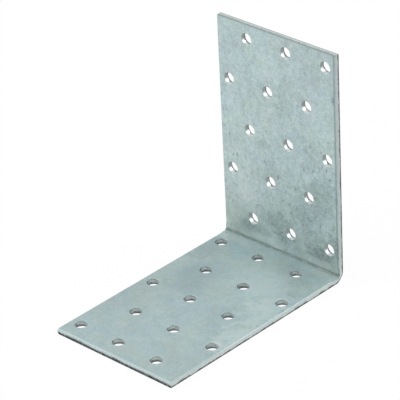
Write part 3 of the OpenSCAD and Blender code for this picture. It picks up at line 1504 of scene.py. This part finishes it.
@dataclass
class Studio:
    """A plain white studio: the floor, the room's own light and the soft boxes.

    Lengths are in metres. A level of 1 is white. What starts and ends with the way that a reflection
    goes is given as cosines.
    """

    aim: Vector = field(default_factory=lambda: Vector((0, 0, 0.04)))
    floor_half: float = 4.0
    floor_drop: float = 0.00002
    floor_glow: float = 0.95
    paper: tuple = (0.95, 0.95, 0.95, 1.0)
    white: tuple = (1.0, 1.0, 1.0, 1.0)
    room_level: float = 0.79
    dim: float = 0.7
    dim_from: Triple = (0.45, -0.45, 0.77)
    dim_cosines: Pair = (0.5, 0.97)
    window: float = 1.5
    window_from: Triple = (0.49, 0.626, 0.607)
    window_cosines: Pair = (0.9, 0.985)
    footprint_half: Pair = (0.030, 0.0495)
    foot_fade: Pair = (0.0004, 0.004)
    gloss_glow: float = 0.9
    front_right: float = 0.8
    front_right_fade: Pair = (0.04, 0.16)
    behind: float = 0.3
    behind_fade: Pair = (0.05, 0.06)
    boxes: tuple[SoftBox, ...] = (
        SoftBox("key_box", (-1.1, -0.9, 1.2), 1.5, 12.0),
        SoftBox("rim_box", (0.9, 1.2, 1.3), 1.2, 4.0),
    )

    def room(self) -> None:
        """The room is white to the camera and in gloss.

        In gloss it has a dim side where the camera stands, and a bright window behind on the right.
        """
        world = bpy.data.worlds.new("room")
        bpy.context.scene.world = world
        world.use_nodes = True
        pad = NodePad(world.node_tree)
        way = pad.add("ShaderNodeTexCoord").outputs["Generated"]
        dimmed, lit = (
            pad.vector("DOT_PRODUCT", way, tuple(Vector(place).normalized()), "Value")
            for place in (self.dim_from, self.window_from)
        )
        dimmed = pad.band(dimmed, *self.dim_cosines, 1.0, 1 - self.dim)
        dimmed = pad.plus(dimmed, pad.band(lit, *self.window_cosines, 0.0, self.window))
        path = pad.add("ShaderNodeLightPath").outputs
        seen = pad.most(path["Is Camera Ray"], path["Is Glossy Ray"], path["Is Transmission Ray"])
        gloss = pad.times(path["Is Glossy Ray"], pad.math("SUBTRACT", dimmed, 1.0))
        mix = pad.add("ShaderNodeMixShader")
        pad.feed(mix.inputs[0], seen)
        for socket, level in zip(mix.inputs[1:3], (self.room_level, pad.plus(gloss, 1.0))):
            light = pad.add("ShaderNodeBackground")
            pad.feed(light.inputs["Color"], self.white)
            pad.feed(light.inputs["Strength"], level)
            pad.feed(socket, light.outputs[0])
        pad.feed(pad.add("ShaderNodeOutputWorld").inputs["Surface"], mix.outputs[0])

    def gloss_level(self, pad: NodePad) -> tuple[Socket, Socket]:
        """How the floor glows in gloss.

        The share of the glow is nothing under the bracket and full a few millimetres outside its
        footprint, so the edges still show the shade at their foot. Its level is lower to the front right
        and behind the bracket.

        Args:
            pad: the floor material's nodes.

        Returns:
            The share of the glow, and its level.
        """
        x, y, _ = pad.split(pad.add("ShaderNodeTexCoord").outputs["Object"])
        outside = []
        for each, half in zip((x, y), self.footprint_half):
            past = pad.math("SUBTRACT", pad.math("ABSOLUTE", each), half)
            outside.append(pad.math("POWER", pad.most(past, 0.0), 2.0))
        away = pad.math("SQRT", pad.plus(*outside))
        share = pad.band(away, *self.foot_fade, 0.0, self.gloss_glow)
        right = pad.band(pad.math("SUBTRACT", x, y), *self.front_right_fade, 1.0, self.front_right)
        return share, pad.times(right, pad.band(y, *self.behind_fade, 1.0, self.behind))

    def floor_paper(self) -> bpy.types.Material:
        """Makes the floor's material: pale paper that glows a little to the camera and in gloss.

        Returns:
            The material.
        """
        material = bpy.data.materials.new("floor_paper")
        material.use_nodes = True
        pad = NodePad(material.node_tree)
        paper = pad.add("ShaderNodeBsdfDiffuse")
        pad.feed(paper.inputs["Color"], self.paper)
        path = pad.add("ShaderNodeLightPath").outputs
        seen = pad.most(path["Is Camera Ray"], path["Is Transmission Ray"])
        share, level = self.gloss_level(pad)
        glow = pad.add("ShaderNodeEmission")
        pad.feed(glow.inputs["Color"], self.white)
        pad.feed(glow.inputs["Strength"], pad.less(pad.times(path["Is Glossy Ray"], pad.less(level))))
        mix = pad.add("ShaderNodeMixShader")
        glossy = pad.times(path["Is Glossy Ray"], share)
        pad.feed(mix.inputs[0], pad.most(pad.times(seen, self.floor_glow), glossy))
        pad.feed(mix.inputs[1], paper.outputs[0])
        pad.feed(mix.inputs[2], glow.outputs[0])
        pad.feed(pad.add("ShaderNodeOutputMaterial").inputs["Surface"], mix.outputs[0])
        return material

    def floor(self) -> None:
        """Builds the pale floor, which keeps the bracket's shadow."""
        half, drop = self.floor_half, -self.floor_drop
        mesh = bpy.data.meshes.new("floor")
        corners = [(-half, -half, drop), (half, -half, drop), (half, half, drop), (-half, half, drop)]
        mesh.from_pydata(corners, [], [(0, 1, 2, 3)])
        mesh.materials.append(self.floor_paper())
        piece = bpy.data.objects.new("floor", mesh)
        bpy.context.scene.collection.objects.link(piece)

    def build(self) -> None:
        """Builds the room, the floor and the lamps, with Blender's plain view of colour."""
        self.room()
        self.floor()
        for box in self.boxes:
            box.light(self.aim)
        bpy.context.scene.view_settings.view_transform = "Standard"


@dataclass(frozen=True)
class PhotoCamera:
    """The photograph's camera, as fitted to the outline and the see-through holes.

    Angles are in degrees and lengths in millimetres. The camera looks from a distance at a point that
    lies a little to the right of and above the middle of the bracket.
    """

    azimuth: float = 44.292
    elevation: float = 29.433
    roll: float = -2.934
    distance: float = 995.035
    right_shift: float = 0.834
    up_shift: float = 6.755
    middle: Triple = (0.0, 0.0, 40.0)
    focal_px: float = 2606.0
    frame_px: float = 400.0
    sensor: float = 36.0
    clip: Pair = (0.01, 50.0)

    def place(self) -> None:
        """Makes the camera and sets it as the scene's."""
        turn, tilt, roll = (math.radians(a) for a in (self.azimuth, self.elevation, self.roll))
        level, rise = math.cos(tilt), math.sin(tilt)
        back = Vector((math.sin(turn) * level, -math.cos(turn) * level, rise))
        flat = Vector((math.cos(turn), math.sin(turn), 0))
        upward = back.cross(flat)
        right = flat * math.cos(roll) + upward * math.sin(roll)
        above = upward * math.cos(roll) - flat * math.sin(roll)
        target = Vector(self.middle) + right * self.right_shift + above * self.up_shift
        spot = (target + back * self.distance) * MM
        lens = bpy.data.cameras.new("photo_camera")
        lens.sensor_width = self.sensor
        lens.lens = self.focal_px * self.sensor / self.frame_px
        lens.clip_start, lens.clip_end = self.clip
        camera = bpy.data.objects.new("photo_camera", lens)
        axes = Matrix((right, above, back)).transposed().to_4x4()
        camera.matrix_world = Matrix.Translation(spot) @ axes
        bpy.context.scene.collection.objects.link(camera)
        bpy.context.scene.camera = camera


def main() -> None:
    """Builds the camera, the studio and the bracket in order, and reports each piece."""
    logging.basicConfig(level=logging.INFO, format="%(message)s")
    PhotoCamera().place()
    Studio().build()
    sheet = FoldedSheet()
    piece = sheet.build()
    sheet.dress(piece, ZincFinish().make())
    mesh = piece.data
    LOG.info("%s: %d faces, %d points", piece.name, len(mesh.polygons), len(mesh.vertices))


if __name__ == "__main__":
    main()
